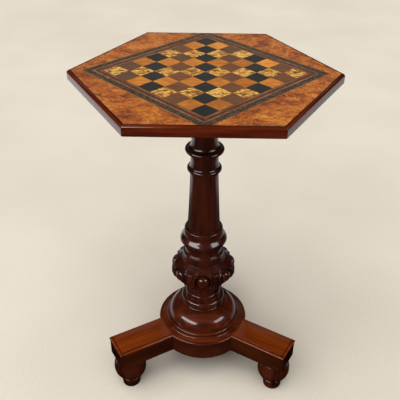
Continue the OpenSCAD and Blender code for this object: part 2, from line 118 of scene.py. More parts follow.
class Wire:
    """A shader socket. Arithmetic on it adds the Math nodes that the sum needs."""

    def __init__(self, tree, socket=None):
        self.tree = tree
        self.socket = socket

    def node(self, kind, settings=None, inputs=None, output=0):
        """A new node of a kind, with its settings made first and then its inputs."""
        made = self.tree.nodes.new("ShaderNode" + kind)
        for name, value in (settings or {}).items():
            if name == "stops":
                lay_stops(made.color_ramp, value)
            else:
                setattr(made, name, value)
        for name, value in (inputs or {}).items():
            if isinstance(value, Wire):
                self.tree.links.new(value.socket, made.inputs[name])
            else:
                made.inputs[name].default_value = value
        return Wire(self.tree, made.outputs[output])

    def math(self, operation, *values):
        return self.node("Math", {"operation": operation}, dict(enumerate(values)))

    def __add__(self, other):
        return self.math("ADD", self, other)

    def __sub__(self, other):
        return self.math("SUBTRACT", self, other)

    def __rsub__(self, other):
        return self.math("SUBTRACT", other, self)

    def __mul__(self, other):
        return self.math("MULTIPLY", self, other)

    def __truediv__(self, other):
        return self.math("DIVIDE", self, other)

    __radd__ = __add__
    __rmul__ = __mul__

    def __abs__(self):
        return self.math("ABSOLUTE", self)

    def either(self, other):
        """The greater of the two."""
        return self.math("MAXIMUM", self, other)

    def axis(self, number):
        """One coordinate of a place: 0, 1 or 2 for X, Y or Z."""
        return self.node("SeparateXYZ", None, {0: self}, number)

    def mark(self, name):
        """A number that the mesh carries, or 0 where it carries none."""
        settings = {"attribute_type": "GEOMETRY", "attribute_name": name}
        return self.node("Attribute", settings, output="Fac")

    def step(self, start, end):
        """0 below start and 1 above end, with a smooth rise between them."""
        settings = {"interpolation_type": "SMOOTHSTEP", "clamp": True}
        limits = {"Value": self, "From Min": start, "From Max": end}
        return self.node("MapRange", settings, limits)

    def ramp(self, *stops):
        """A colour ramp through (position, colour) stops."""
        return self.node("ValToRGB", {"stops": stops}, {0: self})

    def blend(self, first, second, mode="MIX"):
        """first where this is 0 and second where it is 1."""
        settings = {"data_type": "RGBA", "blend_type": mode}
        return self.node("Mix", settings, {0: self, 6: first, 7: second}, 2)

    def placed(self, turn=(0, 0, 0), scale=(1, 1, 1), shift=(0, 0, 0)):
        """These coordinates moved, turned and scaled."""
        values = {"Vector": self, "Location": shift, "Rotation": turn, "Scale": scale}
        return self.node("Mapping", {"vector_type": "POINT"}, values)

    def noise(self, scale, detail=4.0, roughness=0.55, distortion=0.0, output=0):
        """Fractal noise over these coordinates."""
        values = {"Vector": self, "Scale": scale, "Detail": detail,
                  "Roughness": roughness, "Distortion": distortion}
        return self.node("TexNoise", None, values, output)

    def swirled(self, scale, detail, reach):
        """These coordinates pushed about by noise, by as much as reach in metres."""
        push = self.noise(scale, detail, 0.5, 0.0, 1)
        values = {0: push, 1: (reach, reach, reach), 2: self}
        return self.node("VectorMath", {"operation": "MULTIPLY_ADD"}, values)

    def cells(self, scale, feature="F1", output=0):
        """Cells round scattered points over these coordinates."""
        values = {"Vector": self, "Scale": scale}
        return self.node("TexVoronoi", {"feature": feature}, values, output)

    def red(self):
        """The red share of a colour, as a number."""
        return self.node("SeparateColor", None, {0: self})


def lay_stops(ramp, stops):
    """Puts (position, colour) stops on a colour ramp."""
    while len(ramp.elements) < len(stops):
        ramp.elements.new(1.0)
    for element, (position, colour) in zip(ramp.elements, stops):
        element.position = position
        element.color = colour


class Finish:
    """A new material, with its Principled shader and its object coordinates."""

    def __init__(self, name):
        self.material = bpy.data.materials.new(name)
        self.material.use_nodes = True
        tree = self.material.node_tree
        self.shader = tree.nodes["Principled BSDF"]
        self.wire = Wire(tree)
        self.place = self.wire.node("TexCoord", output="Object")

    def set(self, **values):
        """Puts values or links on the shader's own sockets."""
        for name, value in values.items():
            socket = self.shader.inputs[name.replace("_", " ").title().replace("Ior", "IOR")]
            if isinstance(value, Wire):
                self.wire.tree.links.new(value.socket, socket)
            else:
                socket.default_value = value

    def bump(self, height, depth):
        """Raises the surface by height, a field from 0 to 1, times depth in millimetres."""
        values = {"Height": height, "Distance": depth * MM, "Strength": 1.0}
        self.set(normal=self.wire.node("Bump", None, values))


# ---- Finishes ----

ALONG_X = (0, 0, 0)
ALONG_Z = (0, math.radians(90), 0)


def polish(finish, colour, roughness, gloss):
    """French polish: a clear coat over the colour and the sheen of the wood."""
    finish.set(base_color=colour, roughness=roughness, specular_ior_level=0.12)
    finish.set(coat_weight=gloss, coat_roughness=0.1, coat_ior=1.5)


def mahogany(name, turn, dark, mid, light, shade_and_joints=None):
    """French-polished mahogany. turn brings the grain's direction onto X, and the last argument
    gives the places painted darker: painted shade in grooves, carved hollows and sides under a
    top, and the dark joint line at the top's edge."""
    wood = Finish(name)
    laid = wood.place.placed(turn)
    bowed = laid.noise(5.0, 2.0)
    streaks = laid.placed(scale=(5, 70, 70)).noise(1.0, 5.0, 0.62, 0.8)
    ribbon = laid.placed(scale=(1.6, 16, 16)).noise(1.0, 3.0, 0.5, 1.2)
    pores = laid.placed(scale=(60, 1100, 1100)).noise(1.0, 2.0)
    figure = (streaks * 0.55 + ribbon * 0.45).step(0.3, 0.72)
    colour = figure.ramp((0.0, dark), (0.5, mid), (1.0, light))
    colour = (bowed.step(0.3, 0.7) * 0.25).blend(colour, dark)
    colour = (pores.step(0.62, 0.75) * 0.45).blend(colour, srgb(26, 9, 6))
    if shade_and_joints:
        # Painted shade, and dark joint lines, blended in towards near black.
        colour = (shade_and_joints(laid) * 0.85).blend(colour, srgb(20, 7, 5))
    polish(wood, colour, streaks * 0.16 + 0.24, 0.55)
    wood.bump(pores.step(0.55, 0.8) * -0.5 + streaks * 0.3 + 0.5, 0.05)
    return wood.material


def hidden_mahogany():
    """Plain waxed mahogany for what is under the top."""
    wood = Finish("waxed_mahogany")
    laid = wood.place.placed((0, 0, math.radians(90)))
    streaks = laid.placed(scale=(4, 60, 60)).noise(1.0, 5.0, 0.6, 0.6)
    pores = laid.placed(scale=(50, 900, 900)).noise(1.0, 2.0)
    colour = streaks.step(0.3, 0.7).ramp((0.0, srgb(66, 32, 19)), (1.0, srgb(122, 66, 38)))
    colour = (pores.step(0.6, 0.75) * 0.5).blend(colour, srgb(40, 18, 10))
    wood.set(base_color=colour, roughness=streaks * 0.2 + 0.45, specular_ior_level=0.3)
    wood.bump(pores, 0.08)
    return wood.material


def ground_wood():
    """The ground under the veneers: oiled pine with broad grain."""
    wood = Finish("pine_ground")
    rings = wood.place.placed(scale=(2, 34, 34)).noise(1.0, 4.0, 0.5, 1.5)
    fine = wood.place.placed(scale=(14, 500, 500)).noise(1.0, 3.0)
    field = (rings * 0.7 + fine * 0.3).step(0.3, 0.7)
    colour = field.ramp(
        (0.0, srgb(112, 72, 40)), (0.55, srgb(150, 104, 62)), (1.0, srgb(172, 126, 80)))
    wood.set(base_color=colour, roughness=rings * 0.2 + 0.5, specular_ior_level=0.3)
    wood.bump(fine, 0.08)
    return wood.material


def burr_veneer():
    """Burr veneer: warm orange-brown with swirling clouds, dark curls and small eyes."""
    wood = Finish("burr_veneer")
    bent = wood.place.swirled(9.0, 3.0, 0.075)
    clouds = bent.noise(14.0, 6.0, 0.62, 1.6)
    curls = bent.placed(scale=(1, 1.5, 1)).noise(46.0, 7.0, 0.66, 2.6)
    eyes = bent.cells(62.0)
    figure = (clouds * 0.5 + curls * 0.5).step(0.34, 0.66)
    colour = figure.ramp(
        (0.0, srgb(92, 36, 10)), (0.3, srgb(146, 70, 18)),
        (0.62, srgb(188, 104, 30)), (1.0, srgb(218, 142, 58)))
    knots = (1 - eyes.step(0.06, 0.22)) * clouds.step(0.48, 0.6) * 0.55
    colour = knots.blend(colour, srgb(66, 32, 13))
    veins = bent.placed(scale=(1, 1.8, 1)).noise(130.0, 4.0, 0.6, 3.0)
    colour = (veins.step(0.54, 0.62) * 0.6).blend(colour, srgb(92, 36, 10))
    polish(wood, colour, curls * 0.15 + 0.26, 0.4)
    wood.bump(curls, 0.03)
    return wood.material


def ebonised():
    """Ebonised veneer, greenish black with a faint figure."""
    wood = Finish("ebonised_veneer")
    grain = wood.place.placed(scale=(30, 220, 30)).noise(1.0, 5.0, 0.6, 1.0)
    tone = wood.place.mark("tone")
    colour = (grain * 0.8 + tone * 0.25).step(0.25, 0.8).ramp(
        (0.0, srgb(14, 14, 12)), (1.0, srgb(42, 40, 34)))
    polish(wood, colour, grain * 0.15 + 0.25, 0.4)
    wood.bump(grain, 0.02)
    return wood.material


def brown_veneer(name, marked):
    """Straight-grained brown veneer, from olive brown to red-brown by the piece's tone."""
    wood = Finish(name)
    grain = wood.place.placed(scale=(22, 420, 22)).noise(1.0, 5.0, 0.6, 0.5)
    cloud = wood.place.noise(45.0, 3.0)
    olive = grain.step(0.3, 0.7).ramp((0.0, srgb(72, 50, 32)), (1.0, srgb(108, 78, 46)))
    red = grain.step(0.3, 0.7).ramp((0.0, srgb(92, 48, 24)), (1.0, srgb(134, 82, 40)))
    share = wood.place.mark("tone") if marked else cloud
    colour = share.blend(olive, red)
    colour = (cloud.step(0.4, 0.7) * 0.25).blend(colour, srgb(88, 54, 32))
    polish(wood, colour, grain * 0.15 + 0.26, 0.4)
    wood.bump(grain, 0.03)
    return wood.material


def satinwood():
    """Warm orange veneer with a soft cross figure; the tone makes a square brighter."""
    wood = Finish("satinwood_veneer")
    grain = wood.place.placed((0, 0, math.radians(32)), (26, 160, 26)).noise(1.0, 5.0, 0.6, 1.0)
    cloud = wood.place.noise(60.0, 3.0, 0.5, 0.8)
    field = (grain * 0.5 + cloud * 0.35 + wood.place.mark("tone") * 0.3).step(0.3, 0.95)
    colour = field.ramp(
        (0.0, srgb(156, 86, 20)), (0.5, srgb(210, 130, 36)), (1.0, srgb(238, 170, 74)))
    polish(wood, colour, grain * 0.15 + 0.26, 0.4)
    wood.bump(grain, 0.02)
    return wood.material


def shell_veneer():
    """Mottled veneer: pale gold flakes, laid every way, in a brown ground."""
    wood = Finish("mottled_veneer")
    laid = wood.place.swirled(120.0, 2.0, 0.010).placed((0, 0, math.radians(18)), (1, 1.9, 1))
    flakes = laid.cells(150.0, output=1)
    gaps = laid.cells(150.0, "DISTANCE_TO_EDGE")
    streak = laid.placed(scale=(60, 520, 60)).noise(1.0, 4.0, 0.6, 1.5)
    field = flakes.red() * 0.75 + streak * 0.4 + wood.place.mark("tone") * 0.22
    colour = field.ramp(
        (0.24, srgb(92, 50, 16)), (0.42, srgb(136, 80, 26)),
        (0.6, srgb(200, 136, 48)), (0.95, srgb(240, 190, 96)))
    colour = ((1 - gaps.step(0.0, 0.07)) * 0.6).blend(colour, srgb(92, 56, 28))
    polish(wood, colour, streak * 0.2 + 0.26, 0.4)
    wood.bump(streak, 0.03)
    return wood.material


def rosewood():
    """Red-brown strip with dark streaks."""
    wood = Finish("rosewood_strip")
    grain = wood.place.noise(70.0, 5.0, 0.6, 2.0)
    colour = grain.step(0.3, 0.7).ramp((0.0, srgb(60, 26, 13)), (1.0, srgb(108, 52, 26)))
    polish(wood, colour, grain * 0.15 + 0.26, 0.4)
    wood.bump(grain, 0.02)
    return wood.material


def boxwood():
    """Pale stringing, darkened in places by old polish."""
    wood = Finish("boxwood_stringing")
    age = wood.place.noise(30.0, 4.0, 0.6, 1.0)
    fine = wood.place.noise(260.0, 3.0)
    colour = (age * 0.7 + fine * 0.3).step(0.3, 0.7).ramp(
        (0.0, srgb(92, 58, 34)), (0.5, srgb(126, 86, 52)), (1.0, srgb(156, 114, 74)))
    polish(wood, colour, fine * 0.15 + 0.26, 0.4)
    wood.bump(fine, 0.02)
    return wood.material


def mosaic_banding():
    """Banding of small dark chips with a few pale ones."""
    wood = Finish("mosaic_banding")
    turned = wood.place.placed((0, 0, math.radians(45)))
    chips = turned.node(
        "TexVoronoi", {"feature": "F1", "distance": "CHEBYCHEV"},
        {"Vector": turned, "Scale": 420.0, "Randomness": 0.55}, 1)
    shade = chips.red()
    drift = wood.place.noise(28.0, 3.0)
    colour = (shade * 0.8 + drift * 0.3).ramp(
        (0.0, srgb(30, 24, 18)), (0.62, srgb(62, 48, 33)),
        (0.84, srgb(86, 66, 46)), (1.0, srgb(128, 102, 74)))
    polish(wood, colour, drift * 0.15 + 0.28, 0.35)
    wood.bump(shade, 0.02)
    return wood.material


def brass():
    """Lacquered brass, a little tarnished."""
    metal = Finish("old_brass")
    cloud = metal.place.noise(60.0, 5.0, 0.6, 0.5)
    rub = metal.place.placed(scale=(1, 12, 1)).noise(300.0, 3.0)
    colour = cloud.step(0.3, 0.7).ramp((0.0, srgb(150, 112, 54)), (1.0, srgb(204, 166, 92)))
    metal.set(base_color=colour, metallic=1.0, roughness=cloud * 0.2 + rub * 0.1 + 0.18)
    metal.bump(rub, 0.01)
    return metal.material


def steel():
    """Plain steel screws, dulled."""
    metal = Finish("dull_steel")
    cloud = metal.place.noise(220.0, 4.0)
    colour = cloud.step(0.3, 0.7).ramp((0.0, srgb(82, 80, 78)), (1.0, srgb(142, 140, 136)))
    metal.set(base_color=colour, metallic=1.0, roughness=cloud * 0.25 + 0.3)
    metal.bump(cloud, 0.02)
    return metal.material


def beech():
    """Pale beech wedges, unfinished."""
    wood = Finish("beech_wedge")
    fleck = wood.place.placed(scale=(300, 300, 60)).noise(1.0, 4.0)
    colour = fleck.step(0.3, 0.7).ramp((0.0, srgb(150, 112, 74)), (1.0, srgb(190, 154, 110)))
    wood.set(base_color=colour, roughness=fleck * 0.2 + 0.55)
    wood.bump(fleck, 0.05)
    return wood.material


DEEP = (srgb(34, 10, 5), srgb(70, 24, 10), srgb(92, 36, 15))
WARM = (srgb(70, 24, 5), srgb(118, 48, 10), srgb(142, 64, 16))
BASE = (srgb(50, 17, 6), srgb(90, 34, 11), srgb(112, 46, 15))
EDGE = (srgb(60, 17, 4), srgb(108, 36, 8), srgb(138, 56, 15))


def grain_along(angle):
    """The turn that brings a level direction, in degrees from X, onto X."""
    return (0, 0, -math.radians(angle))


def line(distance, middle, half):
    """1 near a middle distance, fading to 0 at half of the line's width, in millimetres."""
    off = abs(distance - middle * MM)
    return 1 - off.step(half * MM * 0.6, half * MM)


def below(laid, height):
    """1 under a height in millimetres, where shade is painted on, and 0 above it."""
    return 1 - laid.axis(2).step((height - 1) * MM, (height + 1) * MM)


def leg_painted_shade(laid):
    """Painted shade on a leg: dark lines in the grooves along its top and across its end, and
    darker sides under the top.
    """
    inset = 5.5
    half_w = 1.2
    edge_t = 3.5
    # Shade is painted into the grooves and onto the sides below the top.
    along = line(abs(laid.axis(1)), LEG_W / 2 - inset, half_w)
    across = line(laid.axis(0), LEG_REACH - inset, half_w)
    return along.either(across).either(below(laid, HUB_TOP - edge_t) * 0.8)


def joint_line(laid):
    """The dark line where the edge moulding meets the veneers of the top."""
    inset = 5.6
    half_w = 2.2
    return line(abs(laid.axis(1)), TOP_APOTHEM - inset, half_w)


def hub_side(laid):
    """Painted shade: the side of the hub darker under its moulded edge."""
    edge_t = 6.6
    return below(laid, HUB_TOP - edge_t) * 0.62


def hollow_shade(laid):
    """Painted shade in the hollows of the carving, as its mesh carries them."""
    return laid.mark("hollow")


UPRIGHT = mahogany("mahogany_turnings", ALONG_Z, *DEEP, hollow_shade)
ACROSS = mahogany("mahogany_hub", ALONG_X, *BASE, hub_side)
FINISHES = {
    "mahogany": UPRIGHT,
    "hidden_mahogany": hidden_mahogany(),
    "ground": ground_wood(),
    "burr_walnut": burr_veneer(),
    "ebonised": ebonised(),
    "brown_wood": brown_veneer("brown_fillets", False),
    "satinwood": satinwood(),
    "shell_mosaic": shell_veneer(),
    "rosewood": rosewood(),
    "boxwood": boxwood(),
    "mosaic": mosaic_banding(),
    "brass": brass(),
    "steel": steel(),
    "wedge_wood": beech(),
}
BROWN_SQUARES = brown_veneer("brown_squares", True)


# ---- Mesh work ----


def made_piece(name, shape, node, material, sharp=35):
    """Turns a bmesh into a piece that stands for a CAD node and rides on its body."""
    mesh = bpy.data.meshes.new(name)
    shape.to_mesh(mesh)
    shape.free()
    mesh.shade_smooth()
    mesh.set_sharp_from_angle(angle=math.radians(sharp))
    mesh.materials.append(material)
    piece = bpy.data.objects.new(name, mesh)
    bpy.context.scene.collection.objects.link(piece)
    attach(piece, BODY_OF_NODE[node])
    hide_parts(node)


def arc(centre, reach, start, end, steps):
    """Points on an ellipse round a centre, from one angle to another in degrees."""
    turns = [math.radians(start + (end - start) * i / steps) for i in range(steps + 1)]
    return [
        (centre[0] + reach[0] * math.cos(a), centre[1] + reach[1] * math.sin(a))
        for a in turns]


def rise_turn(p, q, steps=10):
    """A quarter ellipse that leaves p upright and reaches q level."""
    return arc((q[0], p[1]), (p[0] - q[0], q[1] - p[1]), 0, 90, steps)


def level_turn(p, q, steps=10):
    """A quarter ellipse that leaves p level and reaches q upright."""
    return arc((p[0], q[1]), (q[0] - p[0], p[1] - q[1]), 90, 0, steps)


def bead(r, reach, z, height, steps=24):
    """A half ellipse bead from height z up, standing out from radius r to radius reach."""
    return arc((r, z + height / 2), (reach - r, height / 2), -90, 90, steps)


def ogee(p, q, steps=20):
    """A double curve that leaves p upright and reaches q upright."""
    shares = [i / steps for i in range(steps + 1)]
    return [
        (p[0] + (q[0] - p[0]) * (1 - math.cos(math.pi * t)) / 2, p[1] + (q[1] - p[1]) * t)
        for t in shares]


def sweep(start, control, end, steps=16):
    """A smooth curve from start to end, pulled towards control."""
    points = []
    for i in range(steps + 1):
        t = i / steps
        weights = ((1 - t) ** 2, 2 * t * (1 - t), t ** 2)
        points.append(tuple(
            weights[0] * start[k] + weights[1] * control[k] + weights[2] * end[k]
            for k in (0, 1)))
    return points


def spun(outline, closed, steps=160, centre=(0, 0)):
    """A turned bmesh from an outline of (radius, height) points in millimetres. A closed
    outline runs back to its first point, round a bore."""
    shape = bmesh.new()
    ring = [shape.verts.new((r * MM, 0, z * MM)) for r, z in outline]
    edges = [shape.edges.new(pair) for pair in zip(ring, ring[1:])]
    if closed:
        edges.append(shape.edges.new((ring[-1], ring[0])))
    bmesh.ops.spin(
        shape, geom=ring + edges, cent=(0, 0, 0), axis=(0, 0, 1), angle=TAU,
        steps=steps, use_merge=True)
    bmesh.ops.remove_doubles(shape, verts=shape.verts, dist=1e-6)
    bmesh.ops.dissolve_degenerate(shape, edges=shape.edges, dist=1e-7)
    bmesh.ops.recalc_face_normals(shape, faces=shape.faces)
    bmesh.ops.translate(shape, verts=shape.verts, vec=(centre[0] * MM, centre[1] * MM, 0))
    return shape


def eased(node, material, width=0.6, sharp=40):
    """A copy of a CAD node with its arrises eased."""
    shape = bmesh.new()
    shape.from_mesh(frame["nodes"][node].data)
    bmesh.ops.remove_doubles(shape, verts=shape.verts, dist=1e-6)
    bmesh.ops.dissolve_limit(
        shape, angle_limit=math.radians(1), verts=shape.verts, edges=shape.edges)
    arrises = [
        e for e in shape.edges
        if len(e.link_faces) == 2 and e.calc_face_angle(0) > math.radians(sharp)]
    bmesh.ops.bevel(
        shape, geom=arrises, offset=width * MM, offset_type="OFFSET", segments=2,
        profile=0.5, affect="EDGES", clamp_overlap=True, material=-1)
    made_piece("finished_" + node, shape, node, material)


def dress(node, material):
    """Gives a CAD node its finish."""
    mesh = frame["nodes"][node].data
    mesh.materials.clear()
    mesh.materials.append(material)


# ---- Turnings ----


def column():
    """The upper turning, from the dowel's foot to the tenon's top."""
    foot_r = 48
    stem_r = 37.5
    lip_r = 40.2
    lower_ring_r = 34.4
    upper_ring_r = 38.3
    neck_r = 25.2
    cap_r = 41
    bell = BULB_TOP + STEM_H
    lip = bell + BELL_H
    lip_top = lip + LIP_H
    cap = BLOCK_BASE - CAP_H
    outline = [(0, SHAFT_BASE), (DOWEL_R, SHAFT_BASE)]
    outline += [(DOWEL_R, BULB_TOP), (foot_r - 1.5, BULB_TOP)]
    outline += bead(foot_r - 1.2, foot_r - 0.4, BULB_TOP + 0.1, 1.8, 8)
    outline += sweep(
        (foot_r - 1.5, BULB_TOP + 2.2), (foot_r - 2, BULB_TOP + 12), (43.6, BULB_TOP + 17.5))
    outline += rise_turn((43.5, BULB_TOP + 17.8), (40.9, BULB_TOP + 20.4), 10)
    outline += sweep((40.6, BULB_TOP + 20.5), (37.6, BULB_TOP + 23), (stem_r - 0.3, BULB_TOP + 36))
    outline += rise_turn((stem_r, bell - 3.6), (stem_r + 2.6, bell - 0.4), 8)
    outline += level_turn((BELL_R - 4.5, bell), (BELL_R, bell + 4), 12)
    outline += ogee((BELL_R, bell + 4.4), (lip_r, lip + 0.8), 28)
    outline += rise_turn((lip_r, lip_top - 3.2), (lip_r - 3.2, lip_top), 12)
    outline += [(35, lip_top - 0.2)]
    outline += sweep((34, lip_top + 0.2), (30.2, lip_top + 66), (28, LOWER_RING - 12), 24)
    outline += [(28.2, LOWER_RING - 5.2)]
    outline += bead(29.4, lower_ring_r, LOWER_RING - 4.7, 9.4)
    outline += sweep((30.4, LOWER_RING + 4.8), (27.8, LOWER_RING + 7), (27.2, LOWER_RING + 20), 10)
    outline += sweep((27.2, UPPER_RING - 15), (27.4, UPPER_RING - 9), (28.4, UPPER_RING - 6), 6)
    outline += bead(30, upper_ring_r, UPPER_RING - 5.6, 11.2)
    outline += sweep((31, UPPER_RING + 5.8), (25.6, UPPER_RING + 9), (neck_r, UPPER_RING + 27), 16)
    outline += level_turn((neck_r, cap - 20), (cap_r - 3, cap - 0.5))
    outline += bead(cap_r - 3, cap_r, cap, CAP_H - 2)
    outline += [(cap_r - 3, BLOCK_BASE), (TENON_R, BLOCK_BASE)]
    outline += [(TENON_R, TENON_TOP), (0, TENON_TOP)]
    made_piece("column_turning", spun(outline, False), "column_shaft", UPRIGHT)


def collar():
    """The lower turning: a bead round the bulb's foot, a neck, and a torus over a small bead."""
    neck_r = 36
    outline = [(BORE_R, DOME_TOP), (TORUS_R - 4, DOME_TOP)]
    outline += bead(TORUS_R - 5, TORUS_R - 1.8, DOME_TOP + 0.1, 6)
    outline += bead(TORUS_R - 8, TORUS_R, DOME_TOP + 6.5, 17.5, 32)
    outline += [(TORUS_R - 7.5, DOME_TOP + 24.4)]
    outline += rise_turn((TORUS_R - 8, DOME_TOP + 25.4), (neck_r, DOME_TOP + 38))
    outline += bead(neck_r + 0.5, neck_r + 3.6, COLLAR_TOP + 0.5, 7.5)
    outline += [(neck_r + 0.2, COLLAR_TOP + 8), (neck_r + 0.2, COLLAR_TOP), (BORE_R, COLLAR_TOP)]
    made_piece("collar_turning", spun(outline, True), "base_collar", UPRIGHT)


def dome():
    """The domed moulding: a step, a bead and a full round that runs up to the collar."""
    outline = [(BORE_R, HUB_TOP), (DOME_R, HUB_TOP), (DOME_R, HUB_TOP + 1.2)]
    outline += rise_turn((DOME_R - 0.3, HUB_TOP + 1.5), (DOME_R - 2, HUB_TOP + 2.4))
    outline += bead(DOME_R - 7, DOME_R - 3.6, HUB_TOP + 2.6, 7)
    outline += [(DOME_R - 7.6, HUB_TOP + 9.2)]
    outline += rise_turn((DOME_R - 7.2, HUB_TOP + 9.8), (TORUS_R - 6, DOME_TOP), 28)
    outline += [(BORE_R, DOME_TOP)]
    made_piece("dome_turning", spun(outline, True, 200), "base_dome", ACROSS)


def hub():
    """The round hub, with its moulded upper edge."""
    side = HUB_R - 1.2
    outline = [(BORE_R, HUB_BASE), (side - 0.8, HUB_BASE), (side, HUB_BASE + 0.8)]
    outline += [(side, HUB_TOP - 6.8), (HUB_R - 0.3, HUB_TOP - 6.4)]
    outline += rise_turn((HUB_R, HUB_TOP - 3.9), (HUB_R - 2.5, HUB_TOP - 1.3))
    outline += [(HUB_R - 5.2, HUB_TOP - 1.3), (HUB_R - 5.5, HUB_TOP - 2)]
    outline += [(HUB_R - 6.1, HUB_TOP - 0.3), (HUB_R - 6.6, HUB_TOP), (BORE_R, HUB_TOP)]
    made_piece("hub_disc", spun(outline, True, 200), "hub", ACROSS)


def foot(node):
    """A bun foot: a cup-shaped toe, a groove, the bun and a spigot."""
    toe = 20
    spigot_r = 12
    bun = (high(node).x - low(node).x) / 2
    middle = (low(node) + high(node)) / 2
    outline = [(0, 0), (toe - 2.2, 0)]
    outline += level_turn((toe - 2, 0), (toe, 2))
    outline += sweep((toe + 0.1, 3), (toe + 0.6, 12), (toe + 2.2, 19), 8)
    outline += rise_turn((toe + 2.2, 19.5), (toe - 0.4, 23.2), 8)
    outline += [(toe - 1, 24)]
    outline += level_turn((toe - 0.8, 24.4), (toe + 3, 28), 6)
    outline += sweep((toe + 3.4, 28.6), (bun + 0.5, 40), (bun, 56), 16)
    outline += rise_turn((bun, 57), (24, HUB_BASE), 20)
    outline += [(spigot_r, HUB_BASE), (spigot_r, high(node).z), (0, high(node).z)]
    shape = spun(outline, False, 96, (middle.x, middle.y))
    made_piece("turned_" + node, shape, node, UPRIGHT)


# ---- The carved bulb ----

BOSSES = 7
BOSS_HEIGHT = 277.5
BOSS_R = 13.8
NICHE_R = 17.0
RIM_R = 23.0
NICHE_DEPTH = 4.6
BOSS_RISE = 9.6
RIM_RISE = 3.2
LEAF_RISE = 4.0
CREASE = 1.6
CARVING_R = 65


def bulb_outline():
    """The bulb's plain form from its foot to its crown, in fine steps."""
    outline = [(35.8, COLLAR_TOP + 0.2), (36, COLLAR_TOP + 7.6)]
    side = BULB_R - 0.5
    outline += sweep((36.6, COLLAR_TOP + 8), (58, COLLAR_TOP + 19), (side, COLLAR_TOP + 37), 46)
    outline += sweep((side, COLLAR_TOP + 38), (side, COLLAR_TOP + 54), (58.5, BULB_TOP - 8), 46)
    outline += sweep((57.8, BULB_TOP - 7.2), (53.5, BULB_TOP - 4), (48.2, BULB_TOP), 12)
    return outline


def smooth(value, start, end):
    """0 below start and 1 above end, with a smooth rise between them."""
    t = min(1.0, max(0.0, (value - start) / (end - start)))
    return t * t * (3 - 2 * t)


def carving(across, up):
    """Height of the relief in millimetres, at a distance across and up from a boss's centre."""
    pitch = TAU * CARVING_R / BOSSES
    off_crest = pitch / 2 - abs(across)
    reach = math.hypot(across, up)
    if reach < BOSS_R:
        return -NICHE_DEPTH + BOSS_RISE * math.sqrt(1 - (reach / BOSS_R) ** 2)
    rim = reach if up > 0 else math.hypot(across, up * 0.6)
    fade = smooth(up, -24, -10)
    if rim < NICHE_R:
        return -NICHE_DEPTH * fade
    if rim < RIM_R:
        share = (rim - NICHE_R) / (RIM_R - NICHE_R)
        wall = -NICHE_DEPTH * (1 - smooth(share, 0, 0.35))
        return fade * (wall + RIM_RISE * math.sin(math.pi * share))
    width = max(5.0, pitch / 2 - math.sqrt(max(0.0, RIM_R ** 2 - max(0.0, up) ** 2)))
    share = min(1.0, off_crest / width)
    leaf = LEAF_RISE * (1 - share ** 2) - CREASE * (1 - smooth(share, 0.0, 0.22))
    return leaf - CREASE * smooth(share, 0.75, 1.0)


def bulb():
    """The bulb, with bosses in arched niches and a leaf between every two."""
    profile = bulb_outline()
    outline = [(BORE_R, COLLAR_TOP)] + profile + [(BORE_R, BULB_TOP)]
    shape = spun(outline, True, BOSSES * 64)
    length = 0.0
    runs = [(profile[0][1], 0.0)]
    for a, b in zip(profile, profile[1:]):
        length += math.dist(a, b)
        runs.append((b[1], length))

    def run(z):
        for (z0, s0), (z1, s1) in zip(runs, runs[1:]):
            if z <= z1:
                return s0 + (s1 - s0) * (z - z0) / max(1e-6, z1 - z0)
        return length

    shape.normal_update()
    middle = run(BOSS_HEIGHT)
    hollow = shape.verts.layers.float.new("hollow")
    moves = []
    for v in shape.verts:
        z = v.co.z / MM
        radius = math.hypot(v.co.x, v.co.y) / MM
        if radius < BORE_R + 1:
            continue
        turn = math.atan2(v.co.x, -v.co.y)
        part = turn - round(turn * BOSSES / TAU) * TAU / BOSSES
        depth = carving(part * CARVING_R, run(z) - middle)
        share = smooth(z, COLLAR_TOP + 8, COLLAR_TOP + 16)
        share *= 1 - smooth(z, BULB_TOP - 13, BULB_TOP - 6)
        # The hollow mark tells the finish where to paint shade into the carving's recesses.
        v[hollow] = share * smooth(-depth, 0.5, 3.5)
        moves.append((v, v.normal.copy() * depth * share * MM))
    for v, move in moves:
        v.co += move
    bmesh.ops.recalc_face_normals(shape, faces=shape.faces)
    made_piece("bulb_carving", shape, "carved_bulb", UPRIGHT, 50)


# ---- The board's squares ----

SQUARE = 32.0
PER_SIDE = 8
GLUE_LINE = 0.1
ARRIS = 0.12
BOARD_TOP = high("black_squares").z
VENEER_T = BOARD_TOP - low("black_squares").z
MATCHED_TONES = {
    (4, 6): 0.1, (3, 6): 0.5, (3, 5): 0.9, (2, 4): 1.0, (5, 3): 0.9,
    (1, 3): 0.8, (4, 2): 0.8, (3, 1): 0.75, (6, 4): 0.25,
}
WOODS = {
    "ebonised": "black_squares", "brown_wood": "brown_squares",
    "satinwood": "satinwood_squares", "shell_mosaic": "shell_squares",
}


def wood_of(i, j):
    """The wood of the square in column i and row j."""
    if (i + j) % 2 == 0:
        return "ebonised" if (i - j) % 4 == 0 else "brown_wood"
    return "satinwood" if (i + j) % 4 == 1 else "shell_mosaic"


